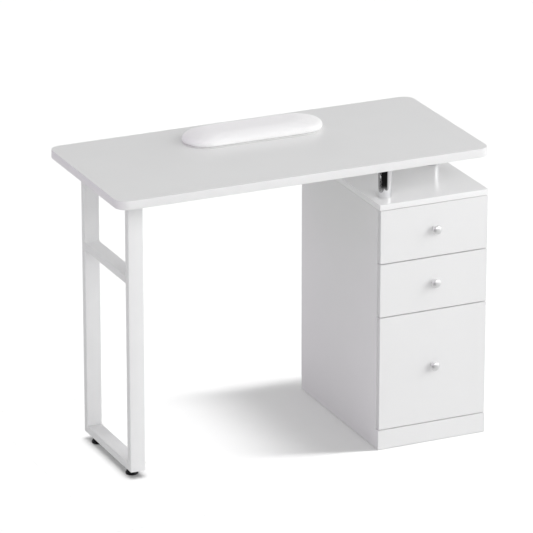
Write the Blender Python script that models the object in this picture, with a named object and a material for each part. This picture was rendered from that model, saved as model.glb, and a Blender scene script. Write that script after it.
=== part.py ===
"""Manicure table: a rounded top on a steel leg frame and on a three-drawer cabinet.

The top sits on three chromed posts above the cabinet. The leg frame stands on two
levelling feet. A padded wrist rest lies loose on the top.

Metres, +Z up, the drawers open towards -Y. The origin is on the floor, at the middle
of the whole table, knobs included.
"""
import math

import bmesh
import bpy
from mathutils import Vector

# ---------------------------------------------------------------- driving dimensions
GAP = 0.0003                    # air between pieces that touch

TABLE_LENGTH = 1.000
TABLE_DEPTH = 0.460
TABLE_HEIGHT = 0.760
TOP_THICKNESS = 0.022
TOP_CORNER_RADIUS = 0.030

TUBE_WIDTH = 0.040              # leg tube, across the table's length
TUBE_DEPTH = 0.020              # leg tube, in the plane of the frame
TUBE_WALL = 0.0015
FRAME_INSET = 0.055             # from the table's left end to the tube
FRAME_SETBACK = 0.080           # from the table's front edge, and from its rear edge
FRAME_BOTTOM = 0.0195
CROSSBAR_TOP = 0.5315

FOOT_SETBACK = 0.040            # from the frame's front or rear face to a foot's axis
FOOT_RADIUS = 0.016
FOOT_FLANGE = 0.0050            # height of the pad's straight rim
FOOT_NECK_RADIUS = 0.0072
FOOT_PAD_HEIGHT = 0.0140
STEM_RADIUS = 0.004
STEM_BOTTOM = 0.0040
STEM_TOP = 0.0320

CABINET_WIDTH = 0.300
CABINET_INSET = 0.005           # from the table's right end
CABINET_TOP = 0.652             # height of the cabinet's top face
BOARD = 0.015
BACK_THICKNESS = 0.0030
SEAM_HEIGHTS = (0.637, 0.4955, 0.354, 0.0525)
SEAM = 0.002                    # between two fronts
FRONT_SIDE_INSET = 0.002        # a front is this much narrower at each side

POST_RADIUS = 0.0175
POST_WALL = 0.0015
POST_SIDE_INSET = 0.041         # from the cabinet's side to a post's axis
POST_FRONT_INSET = 0.058        # from the cabinet's front or rear to a post's axis
POST_BOLT_RADIUS = 0.003
POST_BOLT_HEAD = (0.007, 0.004)     # radius and height of a pan head
BOLT_BITE = 0.014               # length of a bolt inside the table top
LEG_SCREW_RADIUS = 0.0025
LEG_SCREW_HEAD = (0.005, 0.0028)
DRILL_OVERSHOOT = 0.001         # a bit sticks out this far at both ends of its hole

RUNNER_SPACE = 0.0127           # between a drawer and the cabinet's side
RUNNER_LENGTH = 0.400
RUNNER_HEIGHT = 0.035
RUNNER_SHEET = 0.0012
RUNNER_START = 0.002            # behind the drawer front
RUNNER_PLAY = 0.0006            # between the two halves, up and down
RUNNER_SIDE_PLAY = 0.0015       # and between their webs and lips
RUNNER_RAISE = 0.022            # above the lower edge of the box
DRAWER_BOARD = 0.012
DRAWER_DEPTH = 0.405
DRAWER_BOTTOM = 0.003
DRAWER_RAISE = 0.014            # box above the lower edge of its front
DRAWER_LOWER = 0.028            # box below the upper edge of its front
GROOVE_DEPTH = 0.005
GROOVE_HEIGHT = 0.010           # above the lower edge of the box

KNOB_PROJECTION = 0.024
KNOB_RAISE = 0.005              # above the middle of a front
KNOB_HEAD_RADIUS = 0.012
KNOB_RIM = 0.0150               # from the front to the widest part of the head
KNOB_FACE_POWER = 2.8           # 2 is an elliptical face, more is flatter
KNOB_WAIST_RADIUS = 0.0060
KNOB_BASE_RADIUS = 0.0063
KNOB_BORE = 0.0095              # depth of the screw hole
KNOB_SCREW_RADIUS = 0.002
KNOB_SCREW_BITE = 0.0085        # length of the screw inside the knob
KNOB_SCREW_HEAD = (0.0042, 0.0022)

REST_LENGTH = 0.382
REST_DEPTH = 0.126
REST_HEIGHT = 0.035
REST_BASE = 0.003
REST_BASE_INSET = 0.004         # the board is this much smaller than the pad all round
REST_SHOULDER = 0.010           # height at which the pad is widest
REST_CROWN = 0.048              # from the pad's outline in to its flat crown
REST_CENTRE_X = 0.502           # from the table's left end
REST_CENTRE_Y = 0.337           # from the table's front edge

# ---------------------------------------------------------------- places from those
LEFT = -TABLE_LENGTH / 2
FRONT = KNOB_PROJECTION / 2 - TABLE_DEPTH / 2
REAR = FRONT + TABLE_DEPTH
TOP_UNDERSIDE = TABLE_HEIGHT - TOP_THICKNESS

FRAME_X = LEFT + FRAME_INSET + TUBE_WIDTH / 2
FRAME_FRONT = FRONT + FRAME_SETBACK
FRAME_REAR = REAR - FRAME_SETBACK
FRAME_TOP = TOP_UNDERSIDE - GAP
FOOT_PLACES = {"front": FRAME_FRONT + FOOT_SETBACK, "rear": FRAME_REAR - FOOT_SETBACK}

CABINET_RIGHT = -LEFT - CABINET_INSET
CABINET_LEFT = CABINET_RIGHT - CABINET_WIDTH
CABINET_MIDDLE = (CABINET_LEFT + CABINET_RIGHT) / 2
CARCASS_FRONT = FRONT + BOARD + GAP
CARCASS_REAR = REAR - BACK_THICKNESS - GAP
INNER_LEFT = CABINET_LEFT + BOARD
INNER_RIGHT = CABINET_RIGHT - BOARD
POST_PLACES = {
    "front_left": (CABINET_LEFT + POST_SIDE_INSET, FRONT + POST_FRONT_INSET),
    "middle_right": (CABINET_RIGHT - POST_SIDE_INSET, (FRONT + REAR) / 2),
    "rear_left": (CABINET_LEFT + POST_SIDE_INSET, REAR - POST_FRONT_INSET),
}

UP = Vector((0, 0, 1))
FORWARD = Vector((0, -1, 0))


# ---------------------------------------------------------------- small tools
def clear_scene():
    for old in list(bpy.data.objects):
        bpy.data.objects.remove(old, do_unlink=True)


def material(name, colour, roughness, metallic=0.0):
    made = bpy.data.materials.new(name)
    made.use_nodes = True
    shader = made.node_tree.nodes["Principled BSDF"]
    shader.inputs["Base Color"].default_value = (*colour, 1)
    shader.inputs["Roughness"].default_value = roughness
    shader.inputs["Metallic"].default_value = metallic
    made.diffuse_color = (*colour, 1)
    return made


def empty(name, place):
    """The axis that a moving body's pieces hang from."""
    axis = bpy.data.objects.new(name, None)
    axis.location = place
    bpy.context.collection.objects.link(axis)
    return axis


def finish_object(name, mesh_data, place, finish, parent=None, round_piece=False):
    """Turn mesh data made around `place` into a named object, seen by its parent."""
    bmesh.ops.recalc_face_normals(mesh_data, faces=mesh_data.faces)
    mesh = bpy.data.meshes.new(name)
    mesh_data.to_mesh(mesh)
    mesh_data.free()
    if finish:
        mesh.materials.append(finish)
    if round_piece:
        mesh.shade_smooth()
        mesh.set_sharp_from_angle(angle=math.radians(35))
    made = bpy.data.objects.new(name, mesh)
    bpy.context.collection.objects.link(made)
    made.location = Vector(place)
    if parent:
        made.parent = parent
        made.location = Vector(place) - parent.location
    return made


def board(name, low, high, finish, parent=None):
    """A flat panel between two corners."""
    low, high = Vector(low), Vector(high)
    mesh_data = bmesh.new()
    bmesh.ops.create_cube(mesh_data, size=1)
    bmesh.ops.scale(mesh_data, vec=high - low, verts=mesh_data.verts)
    return finish_object(name, mesh_data, (low + high) / 2, finish, parent)


def turned(name, profile, base, along, sides, finish, parent=None, closed=False):
    """A solid of revolution. `profile` lists (radius, distance along the axis)."""
    mesh_data = bmesh.new()
    points = [mesh_data.verts.new((radius, 0, height)) for radius, height in profile]
    edges = [mesh_data.edges.new(pair) for pair in zip(points, points[1:])]
    if closed:
        edges.append(mesh_data.edges.new((points[-1], points[0])))
    bmesh.ops.spin(mesh_data, geom=points + edges, cent=(0, 0, 0), axis=(0, 0, 1),
                   angle=math.tau, steps=sides)
    bmesh.ops.remove_doubles(mesh_data, verts=mesh_data.verts, dist=1e-6)
    turn = UP.rotation_difference(along).to_matrix()
    bmesh.ops.rotate(mesh_data, verts=mesh_data.verts, cent=(0, 0, 0), matrix=turn)
    return finish_object(name, mesh_data, base, finish, parent, round_piece=True)


def rod(radius, length):
    """The profile of a plain rod."""
    return [(0, 0), (radius, 0), (radius, length), (0, length)]


def cut(target, cutter):
    """Cut one hidden shape out of a piece."""
    cutter.hide_render = True
    cutter.display_type = "WIRE"
    cutting = target.modifiers.new("cut_" + cutter.name, "BOOLEAN")
    cutting.operation = "DIFFERENCE"
    cutting.solver = "EXACT"
    cutting.object = cutter


def drill(target, name, base, along, radius, length, parent=None):
    """Drill one round hole, `length` deep from `base`, into a piece."""
    start = Vector(base) - along * DRILL_OVERSHOOT
    bit = turned(name, rod(radius, length + 2 * DRILL_OVERSHOOT), start, along, 12, None, parent)
    cut(target, bit)


# ---------------------------------------------------------------- finishes
def make_finishes():
    return {
        "laminate": material("white_laminate", (0.86, 0.86, 0.87), 0.35),
        "gloss": material("gloss_laminate", (0.88, 0.88, 0.89), 0.12),
        "liner": material("drawer_board", (0.80, 0.80, 0.80), 0.55),
        "powder": material("powder_coat", (0.84, 0.84, 0.85), 0.40),
        "chrome": material("chrome", (0.80, 0.80, 0.81), 0.08, 1.0),
        "zinc": material("zinc_steel", (0.62, 0.63, 0.65), 0.35, 1.0),
        "black": material("black_plastic", (0.02, 0.02, 0.02), 0.45),
        "pad": material("white_leatherette", (0.88, 0.88, 0.88), 0.60),
    }


# ---------------------------------------------------------------- table top
def rounded_outline(length, depth, radius, steps):
    """Corners of a rounded rectangle around the origin, counter-clockwise."""
    points = []
    for quarter in range(4):
        sign_x = 1 if quarter in (0, 3) else -1
        sign_y = 1 if quarter in (0, 1) else -1
        centre = Vector((sign_x * (length / 2 - radius), sign_y * (depth / 2 - radius)))
        for step in range(steps + 1):
            angle = math.radians(90) * (quarter + step / steps)
            points.append(centre + radius * Vector((math.cos(angle), math.sin(angle))))
    return points


def make_table_top(finishes):
    mesh_data = bmesh.new()
    outline = rounded_outline(TABLE_LENGTH, TABLE_DEPTH, TOP_CORNER_RADIUS, 8)
    face = mesh_data.faces.new([mesh_data.verts.new((x, y, 0)) for x, y in outline])
    grown = bmesh.ops.extrude_face_region(mesh_data, geom=[face])
    raised = [item for item in grown["geom"] if isinstance(item, bmesh.types.BMVert)]
    bmesh.ops.translate(mesh_data, verts=raised, vec=(0, 0, TOP_THICKNESS))
    place = (0, (FRONT + REAR) / 2, TOP_UNDERSIDE)
    return finish_object("tabletop", mesh_data, place, finishes["laminate"])


# ---------------------------------------------------------------- leg frame
def tube(name, start, length, along, lean, finish):
    """A rectangular tube in the frame's plane, from its middle line's start.

    `lean` says how far each end slopes across the tube's depth: 1 for a mitre, whose
    longer side is the one outside the frame, and 0 for a square end.
    """
    across = Vector((1, 0, 0))
    outward = along.cross(across)
    mesh_data = bmesh.new()
    rings = []
    for end in (0, 1):
        for wall in (0, TUBE_WALL):
            ring = []
            for side, out in ((-1, -1), (1, -1), (1, 1), (-1, 1)):
                wide = side * (TUBE_WIDTH / 2 - wall)
                deep = out * (TUBE_DEPTH / 2 - wall)
                reach = end * length + (1 if end else -1) * lean * deep
                point = across * wide + outward * deep + along * reach
                ring.append(mesh_data.verts.new(point))
            rings.append(ring)
    outer_start, inner_start, outer_end, inner_end = rings
    for first, second in ((outer_start, outer_end), (inner_start, inner_end),
                          (outer_start, inner_start), (outer_end, inner_end)):
        for corner in range(4):
            following = (corner + 1) % 4
            mesh_data.faces.new((first[corner], first[following],
                                 second[following], second[corner]))
    return finish_object(name, mesh_data, start, finish)


def pan_screw(name, head_base, along, radius, length, head, finish, parent=None):
    """A screw whose head starts at head_base, its shank pointing along."""
    head_radius, head_height = head
    flat_share = 0.6
    profile = [(0, 0), (head_radius * flat_share, 0), (head_radius, head_height / 2),
               (head_radius, head_height), (radius, head_height),
               (radius, head_height + length), (0, head_height + length)]
    return turned(name, profile, head_base, along, 12, finish, parent)


def make_leg_frame(finishes, table_top):
    half = TUBE_DEPTH / 2
    mitre_gap = GAP * math.sqrt(2) / 2
    low = FRAME_BOTTOM + half
    high = FRAME_TOP - half
    front = FRAME_FRONT + half
    rear = FRAME_REAR - half
    upright = high - low - 2 * mitre_gap
    bar = rear - front - 2 * mitre_gap
    back = Vector((0, 1, 0))
    powder = finishes["powder"]
    tube("leg_front_upright", (FRAME_X, front, high - mitre_gap), upright, -UP, 1, powder)
    tube("leg_rear_upright", (FRAME_X, rear, low + mitre_gap), upright, UP, 1, powder)
    top_bar = tube("leg_top_bar", (FRAME_X, rear - mitre_gap, high), bar, -back, 1, powder)
    bottom_bar = tube("leg_bottom_bar", (FRAME_X, front + mitre_gap, low), bar, back, 1, powder)
    inside = FRAME_FRONT + TUBE_DEPTH + GAP
    reach = FRAME_REAR - FRAME_FRONT - 2 * (TUBE_DEPTH + GAP)
    crossbar = (FRAME_X, inside, CROSSBAR_TOP - half)
    tube("leg_crossbar", crossbar, reach, back, 0, powder)

    hole = LEG_SCREW_RADIUS + GAP
    for name, y in FOOT_PLACES.items():
        under = FRAME_TOP - TUBE_DEPTH - GAP - LEG_SCREW_HEAD[1]
        through = TUBE_DEPTH + 2 * GAP + BOLT_BITE
        pan_screw(f"leg_screw_{name}", (FRAME_X, y, under), UP, LEG_SCREW_RADIUS, through,
                  LEG_SCREW_HEAD, finishes["zinc"])
        start = (FRAME_X, y, FRAME_TOP - TUBE_DEPTH)
        drill(top_bar, f"leg_screw_hole_{name}", start, UP, hole, TUBE_DEPTH)
        drill(table_top, f"leg_top_hole_{name}", (FRAME_X, y, TOP_UNDERSIDE), UP, hole, BOLT_BITE)
        drill(bottom_bar, f"foot_hole_{name}", (FRAME_X, y, FRAME_BOTTOM), UP,
              STEM_RADIUS + 2 * GAP, TUBE_WALL)


def make_foot(name, y, finishes):
    """A levelling foot: a moulded pad, and the threaded stem that turns in it."""
    axis = empty(f"foot_{name}_axis", (FRAME_X, y, 0))
    socket = STEM_RADIUS + GAP
    floor = STEM_BOTTOM - GAP
    edge = 0.001
    profile = [(0, 0), (FOOT_RADIUS - edge, 0), (FOOT_RADIUS, edge), (FOOT_RADIUS, FOOT_FLANGE)]
    dome_steps = 4
    dome_width = FOOT_RADIUS - FOOT_NECK_RADIUS
    dome_height = FOOT_PAD_HEIGHT - FOOT_FLANGE
    for step in range(1, dome_steps + 1):
        angle = math.radians(90) * step / dome_steps
        profile.append((FOOT_RADIUS - dome_width * (1 - math.cos(angle)),
                        FOOT_FLANGE + dome_height * math.sin(angle)))
    profile += [(socket, FOOT_PAD_HEIGHT), (socket, floor), (0, floor)]
    turned(f"foot_{name}_pad", profile, axis.location, UP, 24, finishes["black"], axis)
    tip = 0.0006
    length = STEM_TOP - STEM_BOTTOM
    profile = [(0, 0), (STEM_RADIUS, 0), (STEM_RADIUS, length - tip),
               (STEM_RADIUS - tip, length), (0, length)]
    base = (FRAME_X, y, STEM_BOTTOM)
    turned(f"foot_{name}_stem", profile, base, UP, 16, finishes["zinc"], axis)


# ---------------------------------------------------------------- cabinet
def make_carcass(finishes):
    laminate = finishes["laminate"]
    under_top = CABINET_TOP - BOARD
    below = under_top - GAP
    board("cabinet_left_side", (CABINET_LEFT, CARCASS_FRONT, 0),
          (INNER_LEFT, CARCASS_REAR, below), laminate)
    board("cabinet_right_side", (INNER_RIGHT, CARCASS_FRONT, 0),
          (CABINET_RIGHT, CARCASS_REAR, below), laminate)
    base_top = SEAM_HEIGHTS[3] - GAP
    board("cabinet_bottom", (INNER_LEFT + GAP, CARCASS_FRONT, base_top - BOARD),
          (INNER_RIGHT - GAP, CARCASS_REAR, base_top), laminate)
    board("cabinet_plinth", (CABINET_LEFT, FRONT, 0),
          (CABINET_RIGHT, FRONT + BOARD, SEAM_HEIGHTS[3] - SEAM / 2), laminate)
    margin = 0.001
    board("cabinet_back", (CABINET_LEFT + margin, REAR - BACK_THICKNESS, base_top - BOARD),
          (CABINET_RIGHT - margin, REAR, below), laminate)
    return board("cabinet_top", (CABINET_LEFT, FRONT, under_top),
                 (CABINET_RIGHT, REAR, CABINET_TOP), finishes["gloss"])


def make_posts(finishes, table_top, cabinet_top):
    """Chromed tubes, each clamped by a long bolt from inside the cabinet."""
    height = TOP_UNDERSIDE - CABINET_TOP - 2 * GAP
    inner = POST_RADIUS - POST_WALL
    ring = [(inner, 0), (POST_RADIUS, 0), (POST_RADIUS, height), (inner, height)]
    head_height = POST_BOLT_HEAD[1]
    hole = POST_BOLT_RADIUS + GAP
    for name, (x, y) in POST_PLACES.items():
        base = (x, y, CABINET_TOP + GAP)
        turned(f"post_{name}", ring, base, UP, 32, finishes["chrome"], closed=True)
        under = CABINET_TOP - BOARD - GAP - head_height
        reach = TOP_UNDERSIDE - (under + head_height) + BOLT_BITE
        pan_screw(f"post_bolt_{name}", (x, y, under), UP, POST_BOLT_RADIUS, reach,
                  POST_BOLT_HEAD, finishes["zinc"])
        drill(cabinet_top, f"post_hole_{name}", (x, y, CABINET_TOP - BOARD), UP, hole, BOARD)
        drill(table_top, f"post_top_hole_{name}", (x, y, TOP_UNDERSIDE), UP, hole, BOLT_BITE)


# ---------------------------------------------------------------- runners
def channel(name, wall_x, inward, depth, height, low, start, finish, parent=None):
    """A pressed C-channel that runs back from `start`, its web on the wall at wall_x.

    The web stands on the wall, and both flanges point along `inward` (+1 or -1).
    """
    sheet = RUNNER_SHEET
    section = [(0, 0), (depth, 0), (depth, sheet), (sheet, sheet),
               (sheet, height - sheet), (depth, height - sheet), (depth, height), (0, height)]
    mesh_data = bmesh.new()
    corners = [mesh_data.verts.new((inward * across, 0, up)) for across, up in section]
    face = mesh_data.faces.new(corners)
    grown = bmesh.ops.extrude_face_region(mesh_data, geom=[face])
    pushed = [item for item in grown["geom"] if isinstance(item, bmesh.types.BMVert)]
    bmesh.ops.translate(mesh_data, verts=pushed, vec=(0, RUNNER_LENGTH, 0))
    return finish_object(name, mesh_data, (wall_x, start, low), finish, parent)


def make_runners(number, middle_height, finishes, axis):
    """The pair of two-piece runners of one drawer."""
    depth = RUNNER_SPACE - 2 * GAP - RUNNER_SHEET - RUNNER_SIDE_PLAY
    low = middle_height - RUNNER_HEIGHT / 2
    start = CARCASS_FRONT + RUNNER_START
    play = RUNNER_SHEET + RUNNER_PLAY
    box_left = INNER_LEFT + RUNNER_SPACE
    box_right = INNER_RIGHT - RUNNER_SPACE
    for side, wall, box, inward in (("left", INNER_LEFT + GAP, box_left - GAP, 1),
                                    ("right", INNER_RIGHT - GAP, box_right + GAP, -1)):
        channel(f"cabinet_runner_{number}_{side}", wall, inward, depth, RUNNER_HEIGHT,
                low, start, finishes["zinc"])
        channel(f"drawer_{number}_runner_{side}", box, -inward, depth - RUNNER_SHEET,
                RUNNER_HEIGHT - 2 * play, low + play, start, finishes["zinc"], axis)


# ---------------------------------------------------------------- drawers
def knob_profile():
    """A mushroom knob: base flare, waist, domed head, and a blind screw hole."""
    bore = KNOB_SCREW_RADIUS + GAP
    flare = 0.0015
    neck = KNOB_RIM - KNOB_BORE
    under_head = [(0.5, 0.5), (0.95, 0.8), (1, 1)]      # shares of the head's overhang
    outline = [(0, KNOB_BORE), (bore, KNOB_BORE), (bore, 0), (KNOB_BASE_RADIUS, 0),
               (KNOB_BASE_RADIUS, flare), (KNOB_WAIST_RADIUS, 3 * flare),
               (KNOB_WAIST_RADIUS, KNOB_BORE)]
    for out, up in under_head:
        outline.append((KNOB_WAIST_RADIUS + out * (KNOB_HEAD_RADIUS - KNOB_WAIST_RADIUS),
                        KNOB_BORE + up * neck))
    dome_steps = 5
    dome = KNOB_PROJECTION - GAP - KNOB_RIM
    squareness = 2 / KNOB_FACE_POWER
    for step in range(1, dome_steps):
        angle = math.radians(90) * step / dome_steps
        outline.append((KNOB_HEAD_RADIUS * math.cos(angle) ** squareness,
                        KNOB_RIM + dome * math.sin(angle) ** squareness))
    outline.append((0, KNOB_RIM + dome))
    return outline


def make_drawer(number, upper_seam, lower_seam, finishes):
    """One drawer: front, box, knob with its screw, and runners, on its own axis."""
    front_low = lower_seam + SEAM / 2
    front_high = upper_seam - SEAM / 2
    middle = (upper_seam + lower_seam) / 2
    axis = empty(f"drawer_{number}_axis", (CABINET_MIDDLE, FRONT, middle))
    name = f"drawer_{number}"
    liner = finishes["liner"]

    left = CABINET_LEFT + FRONT_SIDE_INSET
    right = CABINET_RIGHT - FRONT_SIDE_INSET
    face = board(f"{name}_front", (left, FRONT, front_low),
                 (right, FRONT + BOARD, front_high), finishes["laminate"], axis)

    box_left = INNER_LEFT + RUNNER_SPACE
    box_right = INNER_RIGHT - RUNNER_SPACE
    box_front = FRONT + BOARD + GAP
    box_rear = box_front + DRAWER_DEPTH
    low = front_low + DRAWER_RAISE
    high = front_high - DRAWER_LOWER
    side_left = board(f"{name}_left_side", (box_left, box_front, low),
                      (box_left + DRAWER_BOARD, box_rear, high), liner, axis)
    side_right = board(f"{name}_right_side", (box_right - DRAWER_BOARD, box_front, low),
                       (box_right, box_rear, high), liner, axis)
    in_left = box_left + DRAWER_BOARD + GAP
    in_right = box_right - DRAWER_BOARD - GAP
    back_face = box_rear - DRAWER_BOARD
    back = board(f"{name}_back", (in_left, back_face, low), (in_right, box_rear, high),
                 liner, axis)

    groove = low + GROOVE_HEIGHT
    panel_low = Vector((in_left - GROOVE_DEPTH, FRONT + BOARD - GROOVE_DEPTH, groove))
    panel_high = Vector((in_right + GROOVE_DEPTH, back_face + GROOVE_DEPTH,
                         groove + DRAWER_BOTTOM))
    board(f"{name}_bottom", panel_low, panel_high, liner, axis)
    grow = Vector((GAP, GAP, GAP))
    slot = board(f"{name}_groove", panel_low - grow, panel_high + grow, None, axis)
    for panel in (face, side_left, side_right, back):
        cut(panel, slot)

    knob_height = middle + KNOB_RAISE
    knob_base = (CABINET_MIDDLE, FRONT - GAP, knob_height)
    turned(f"{name}_knob", knob_profile(), knob_base, FORWARD, 20, finishes["chrome"], axis)
    head_base = (CABINET_MIDDLE, FRONT + BOARD + GAP + KNOB_SCREW_HEAD[1], knob_height)
    pan_screw(f"{name}_knob_screw", head_base, FORWARD, KNOB_SCREW_RADIUS,
              BOARD + KNOB_SCREW_BITE, KNOB_SCREW_HEAD, finishes["zinc"], axis)
    drill(face, f"{name}_knob_hole", (CABINET_MIDDLE, FRONT + BOARD, knob_height), FORWARD,
          KNOB_SCREW_RADIUS + GAP, BOARD, axis)
    runner_height = low + RUNNER_HEIGHT / 2 + RUNNER_RAISE
    make_runners(number, runner_height, finishes, axis)


# ---------------------------------------------------------------- wrist rest
def stadium_ring(mesh_data, inset, height, steps):
    """One level of the pad: straight sides with fully round ends."""
    radius = REST_DEPTH / 2 - inset
    straight = REST_LENGTH / 2 - REST_DEPTH / 2
    ring = []
    for sign in (1, -1):
        for step in range(steps + 1):
            angle = math.radians(-90 + 180 * step / steps)
            x = sign * (straight + radius * math.cos(angle))
            y = sign * radius * math.sin(angle)
            ring.append(mesh_data.verts.new((x, y, height)))
    return ring


def loft(mesh_data, rings):
    """Join rings of equal count, and close the first and the last."""
    for first, second in zip(rings, rings[1:]):
        for corner in range(len(first)):
            following = (corner + 1) % len(first)
            mesh_data.faces.new((first[corner], first[following],
                                 second[following], second[corner]))
    mesh_data.faces.new(list(reversed(rings[0])))
    mesh_data.faces.new(rings[-1])


def make_wrist_rest(finishes):
    place = Vector((LEFT + REST_CENTRE_X, FRONT + REST_CENTRE_Y, TABLE_HEIGHT + GAP))
    axis = empty("wrist_rest_axis", place)
    steps = 12

    base = bmesh.new()
    loft(base, [stadium_ring(base, REST_BASE_INSET, height, steps) for height in (0, REST_BASE)])
    finish_object("wrist_rest_base", base, place, finishes["liner"], axis)

    pad = bmesh.new()
    bottom = REST_BASE + GAP
    top = REST_HEIGHT - GAP
    tuck = 0.0015
    rings = [stadium_ring(pad, tuck, bottom, steps),
             stadium_ring(pad, 0, bottom + 2 * tuck, steps),
             stadium_ring(pad, 0, REST_SHOULDER, steps)]
    crown_steps = 5
    for step in range(1, crown_steps + 1):
        angle = math.radians(90) * step / crown_steps
        inset = REST_CROWN * (1 - math.cos(angle))
        height = REST_SHOULDER + (top - REST_SHOULDER) * math.sin(angle)
        rings.append(stadium_ring(pad, inset, height, steps))
    loft(pad, rings)
    finish_object("wrist_rest_pad", pad, place, finishes["pad"], axis, round_piece=True)


# ---------------------------------------------------------------- the whole table
def main():
    clear_scene()
    finishes = make_finishes()
    table_top = make_table_top(finishes)
    make_leg_frame(finishes, table_top)
    for name, y in FOOT_PLACES.items():
        make_foot(name, y, finishes)
    cabinet_top = make_carcass(finishes)
    make_posts(finishes, table_top, cabinet_top)
    for number in (1, 2, 3):
        make_drawer(number, SEAM_HEIGHTS[number - 1], SEAM_HEIGHTS[number], finishes)
    make_wrist_rest(finishes)


main()
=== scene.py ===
"""The looks of the manicure table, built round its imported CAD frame.

Metres, +Z up, the drawers open towards -Y. Places come from the frame's own boxes.
"""
import math

import bmesh
import bpy
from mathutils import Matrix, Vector


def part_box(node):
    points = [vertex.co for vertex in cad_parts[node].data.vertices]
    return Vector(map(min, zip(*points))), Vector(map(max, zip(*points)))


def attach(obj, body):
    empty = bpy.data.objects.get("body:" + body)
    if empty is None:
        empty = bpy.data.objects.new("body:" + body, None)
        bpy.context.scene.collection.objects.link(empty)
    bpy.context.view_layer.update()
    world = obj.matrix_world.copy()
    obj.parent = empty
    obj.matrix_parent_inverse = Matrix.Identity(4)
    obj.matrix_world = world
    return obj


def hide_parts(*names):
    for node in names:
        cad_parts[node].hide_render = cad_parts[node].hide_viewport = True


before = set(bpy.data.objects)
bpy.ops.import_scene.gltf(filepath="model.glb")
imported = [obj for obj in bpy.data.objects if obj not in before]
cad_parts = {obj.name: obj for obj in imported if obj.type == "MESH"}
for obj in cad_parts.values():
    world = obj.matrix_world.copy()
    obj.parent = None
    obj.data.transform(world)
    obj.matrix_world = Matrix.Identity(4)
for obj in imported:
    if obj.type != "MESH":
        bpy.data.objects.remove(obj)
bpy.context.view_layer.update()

DRAWERS = (1, 2, 3)
SIDES = ("left", "right")
FEET = ("front", "rear")
POSTS = ("front_left", "middle_right", "rear_left")

Y_AXIS, Z_AXIS = 1, 2
UP = Vector((0, 0, 1))
FORWARD = Vector((0, -1, 0))
QUARTER_TURN = math.radians(90)

# Angles are an azimuth and an elevation in degrees, from the front and from level.
CAMERA_ANGLES = (-24.46, 20.25)
CAMERA_TARGET = Vector((-0.0065, 0.0150, 0.4447))
CAMERA_DISTANCE = 11.1817
CAMERA_CLIP = (0.1, 100)
SENSOR_MM = 36
LENS_MM = 301.35

# What reflections see round the table: (turn, strength), anticlockwise from the left.
MIRRORED_ABOVE = ((0.0, 0.35), (0.2, 0.35), (0.3, 0.5), (0.36, 0.95), (0.56, 0.95),
                  (0.64, 0.42), (0.75, 0.36), (1.0, 0.35))
MIRRORED_BELOW = ((0.0, 0.03), (0.05, 0.01), (0.27, 0.01), (0.31, 0.50), (0.36, 0.80),
                  (0.5, 0.8), (0.75, 0.35), (0.88, 0.26), (0.94, 0.08), (1.0, 0.03))
# The heights of a direction between which they pass from above to below, then to the floor.
HORIZON_BAND = (0.10, -0.05)
FLOOR_BAND = (-0.40, -0.52)

NEUTRAL = (1, 1, 1)
LILAC = (1.05, 0.82, 1.13)
PALE_LILAC = (1.01, 0.95, 1.03)
LIGHTS_TARGET = Vector((0, 0, 0.4))

FLOOR_HEIGHT = -0.0005
PATCH_HEIGHT = -0.0004
FLOOR_REACH = 40
FLOOR_LIFT = 0.04
FLOOR_SUN_DISTANCE = 5
# The floor's lights stand in an arch: (elevation, strength) of each.
ARCH = ((58, 0.133), (62, 0.265), (66, 0.446), (70, 0.446), (74, 0.386), (78, 0.193))
ARCH_AZIMUTH = 75
ARCH_SPREAD = 5

# Details in metres that only the visual model has.
BAND_THICKNESS = 0.0010
BAND_JOINT = 0.0001
BAND_ARRIS = 0.0009
BAND_ARRIS_STEPS = 4
TABLETOP_CORNER = 0.030
SCREW_HOLE_RADIUS = 0.0023
TUBE_CORNER = 0.0025
TUBE_CORNER_STEPS = 5
TUBE_GAP = 0.0003
WELD = 0.0016
THREAD_PITCH = 0.00125
THREAD_DEPTH = 0.61 * THREAD_PITCH
THREAD_SIDES = 28
THREAD_ROWS_PER_TURN = 8


# ---------------------------------------------------------------- camera
def back_of(azimuth, elevation):
    """The direction from the object to a camera at those angles, in degrees."""
    around, above = math.radians(azimuth), math.radians(elevation)
    level = math.cos(above)
    return Vector((math.sin(around) * level, -math.cos(around) * level, math.sin(above)))


def stand_off(name, data, target, azimuth, elevation, distance):
    """A camera or a light that looks at a target from those angles."""
    made = bpy.data.objects.new(name, data)
    back = back_of(azimuth, elevation)
    made.location = target + back * distance
    made.rotation_mode = "QUATERNION"
    made.rotation_quaternion = (-back).to_track_quat("-Z", "Y")
    bpy.context.scene.collection.objects.link(made)
    return made


def make_camera():
    """The long lens that the table is seen through."""
    lens = bpy.data.cameras.new("camera")
    lens.sensor_width = SENSOR_MM
    lens.lens = LENS_MM
    lens.clip_start, lens.clip_end = CAMERA_CLIP
    bpy.context.scene.camera = stand_off("camera", lens, CAMERA_TARGET, *CAMERA_ANGLES,
                                         CAMERA_DISTANCE)


# ---------------------------------------------------------------- node tools
def spread(tree, value, low=0, high=1, start=0.3, end=0.7):
    """Map a field's usual range, or start..end, onto low..high."""
    node = tree.nodes.new("ShaderNodeMapRange")
    node.inputs["From Min"].default_value = start
    node.inputs["From Max"].default_value = end
    node.inputs["To Min"].default_value = low
    node.inputs["To Max"].default_value = high
    tree.links.new(value, node.inputs["Value"])
    return node.outputs["Result"]


def set_input(tree, socket, value):
    """Give an input a fixed value, or link another node's output to it."""
    if isinstance(value, (int, float, tuple)):
        socket.default_value = value
    else:
        tree.links.new(value, socket)


def combine(tree, first, second, operation="ADD"):
    """Arithmetic on two values, each a number or an output."""
    node = tree.nodes.new("ShaderNodeMath")
    node.operation = operation
    for socket, value in zip(node.inputs, (first, second)):
        set_input(tree, socket, value)
    return node.outputs["Value"]


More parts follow.
